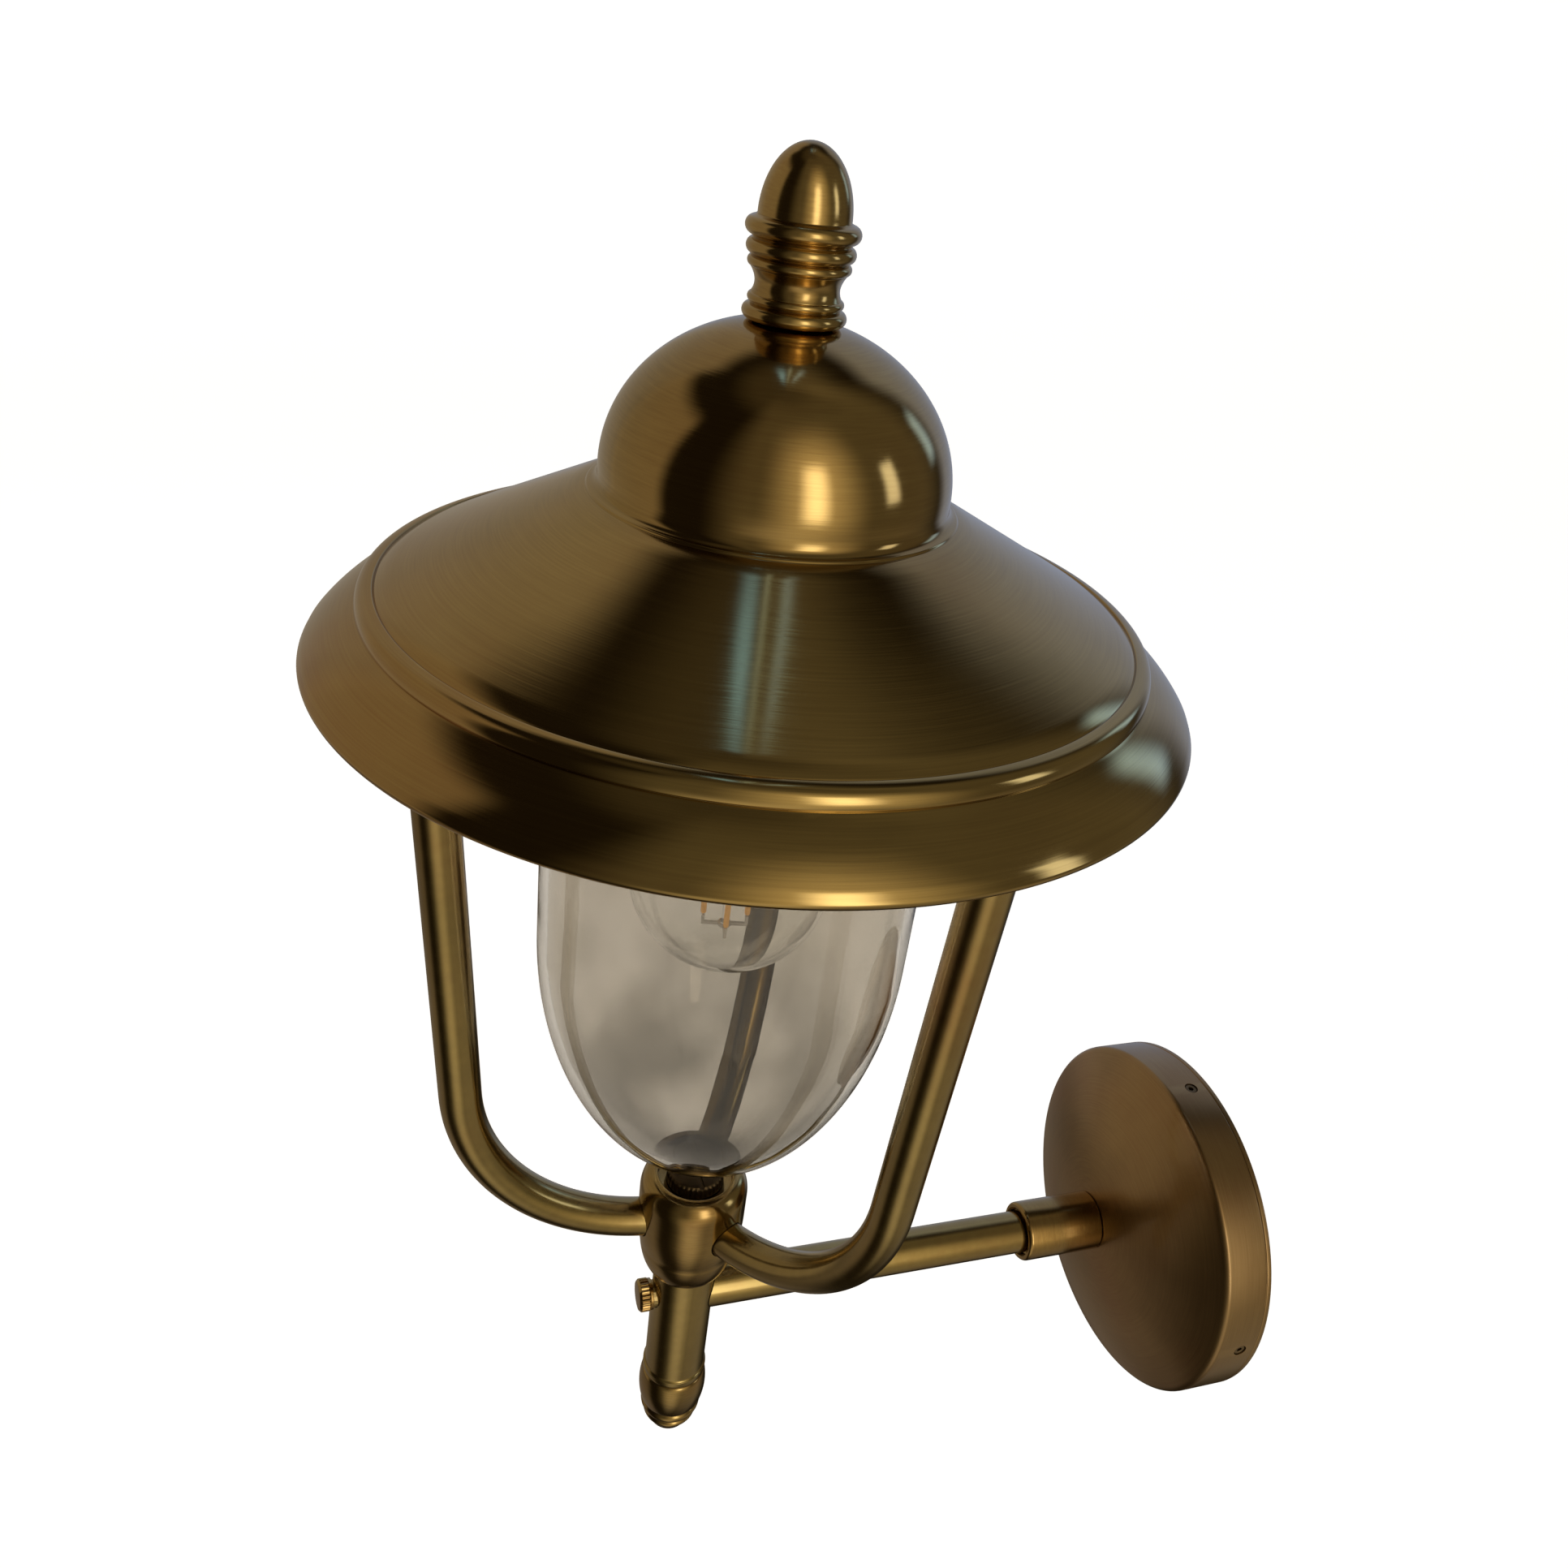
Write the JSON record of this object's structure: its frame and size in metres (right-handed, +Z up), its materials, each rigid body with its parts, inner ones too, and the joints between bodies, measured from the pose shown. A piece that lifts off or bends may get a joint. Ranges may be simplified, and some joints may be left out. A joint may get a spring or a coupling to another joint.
{
  "type": "wall lantern",
  "caption": "Aged-brass ship-style wall lantern: round plate and arm, post, bent tube arms, spun round hood with turned finial, and a clear glass bell over a filament bulb.",
  "frame": {"origin": "centre of the wall bracket's back face, which lies against the wall", "axes": "+Z up; +Y into the wall; the lantern stands out along -Y, with its upright axis 213 mm from the wall; +X to the right seen from the room"},
  "size_m": [0.24, 0.333, 0.4746],
  "materials": {
    "aged_brass": "antique brown patina, brushed",
    "plain_brass": "unlacquered, dull",
    "zinc_steel": "zinc plated",
    "nickel": "nickel plated",
    "porcelain": "glazed",
    "holder_plastic": "moulded",
    "terminal_plastic": "moulded",
    "gasket_rubber": "matt",
    "lead_sheath": "matt",
    "bell_glass": "clear, blown",
    "bulb_clear": "clear",
    "filament_phosphor": "yellow-orange phosphor"
  },
  "bodies": {
    "frame": {"wall_bracket": "zinc_steel", "wall_plate": "aged_brass", "plate_screw_top": "aged_brass", "plate_screw_right": "aged_brass", "plate_screw_bottom": "aged_brass", "plate_screw_left": "aged_brass", "terminal_block": "terminal_plastic", "terminal_screw_1": "plain_brass", "terminal_screw_2": "plain_brass", "terminal_screw_3": "plain_brass", "earth_screw": "plain_brass", "arm_sleeve": "aged_brass", "arm_lock_nut": "plain_brass", "wall_arm": "aged_brass", "arm_plug": "plain_brass", "arm_nipple": "plain_brass", "post": "aged_brass", "bottom_finial": "aged_brass", "hub": "aged_brass", "lantern_arm_front": "aged_brass", "lantern_arm_right": "aged_brass", "lantern_arm_left": "aged_brass", "lantern_arm_nut_front": "plain_brass", "lantern_arm_nut_right": "plain_brass", "lantern_arm_nut_left": "plain_brass", "spider": "plain_brass", "glass_gallery": "plain_brass", "gallery_screw_1": "zinc_steel", "gallery_screw_2": "zinc_steel", "gallery_screw_3": "zinc_steel", "rod_bridge": "zinc_steel", "bridge_screw_1": "zinc_steel", "bridge_screw_2": "zinc_steel", "hood_rod": "zinc_steel", "rod_nut_holder": "zinc_steel", "rod_nut_lower": "zinc_steel", "rod_nut_upper": "zinc_steel", "hood_seat_nut": "zinc_steel", "hood_seat_washer": "zinc_steel", "holder_shell": "holder_plastic", "holder_insert": "porcelain", "holder_thread": "plain_brass", "holder_contact": "plain_brass", "inner_lead": "lead_sheath"},
    "hood": {"hood": "aged_brass"},
    "finial": {"hood_finial": "aged_brass"},
    "gasket": {"glass_gasket": "gasket_rubber"},
    "glass": {"glass_bell": "bell_glass"},
    "bulb": {"bulb_glass": "bulb_clear", "bulb_cap": "nickel", "bulb_contact": "nickel", "bulb_stem": "bulb_clear", "filament_1": "filament_phosphor", "filament_2": "filament_phosphor", "filament_3": "filament_phosphor", "filament_4": "filament_phosphor", "filament_wires_lower": "nickel", "filament_wires_upper": "nickel"},
    "arm_cap": {"arm_cap": "aged_brass"},
    "hub_cap": {"hub_cap": "aged_brass"}
  },
  "joints": [
    {"name": "hood_lift", "type": "slide", "parent": "frame", "child": "hood", "axis": [0, 0, 1], "range_m": [0, 0.03]},
    {"name": "finial_turn", "type": "hinge", "parent": "hood", "child": "finial", "pos_m": [0, -0.213, 0.363], "axis": [0, 0, 1], "continuous": true},
    {"name": "glass_drop", "type": "slide", "parent": "frame", "child": "gasket", "axis": [0, 0, -1], "range_m": [0, 0.011]},
    {"name": "glass_turn", "type": "hinge", "parent": "gasket", "child": "glass", "pos_m": [0, -0.213, 0.16], "axis": [0, 0, -1], "range_deg": [0, 980]},
    {"name": "bulb_turn", "type": "hinge", "parent": "frame", "child": "bulb", "pos_m": [0, -0.213, 0.19], "axis": [0, 0, 1], "continuous": true},
    {"name": "arm_cap_turn", "type": "hinge", "parent": "frame", "child": "arm_cap", "pos_m": [0, -0.227, 0], "axis": [0, 1, 0], "continuous": true},
    {"name": "hub_cap_turn", "type": "hinge", "parent": "frame", "child": "hub_cap", "pos_m": [0, -0.213, 0.06], "axis": [0, 0, 1], "continuous": true}
  ],
  "couplings": [
    {"joint": "glass_drop", "follows": "glass_turn", "m_per_rad": 0.000637}
  ]
}
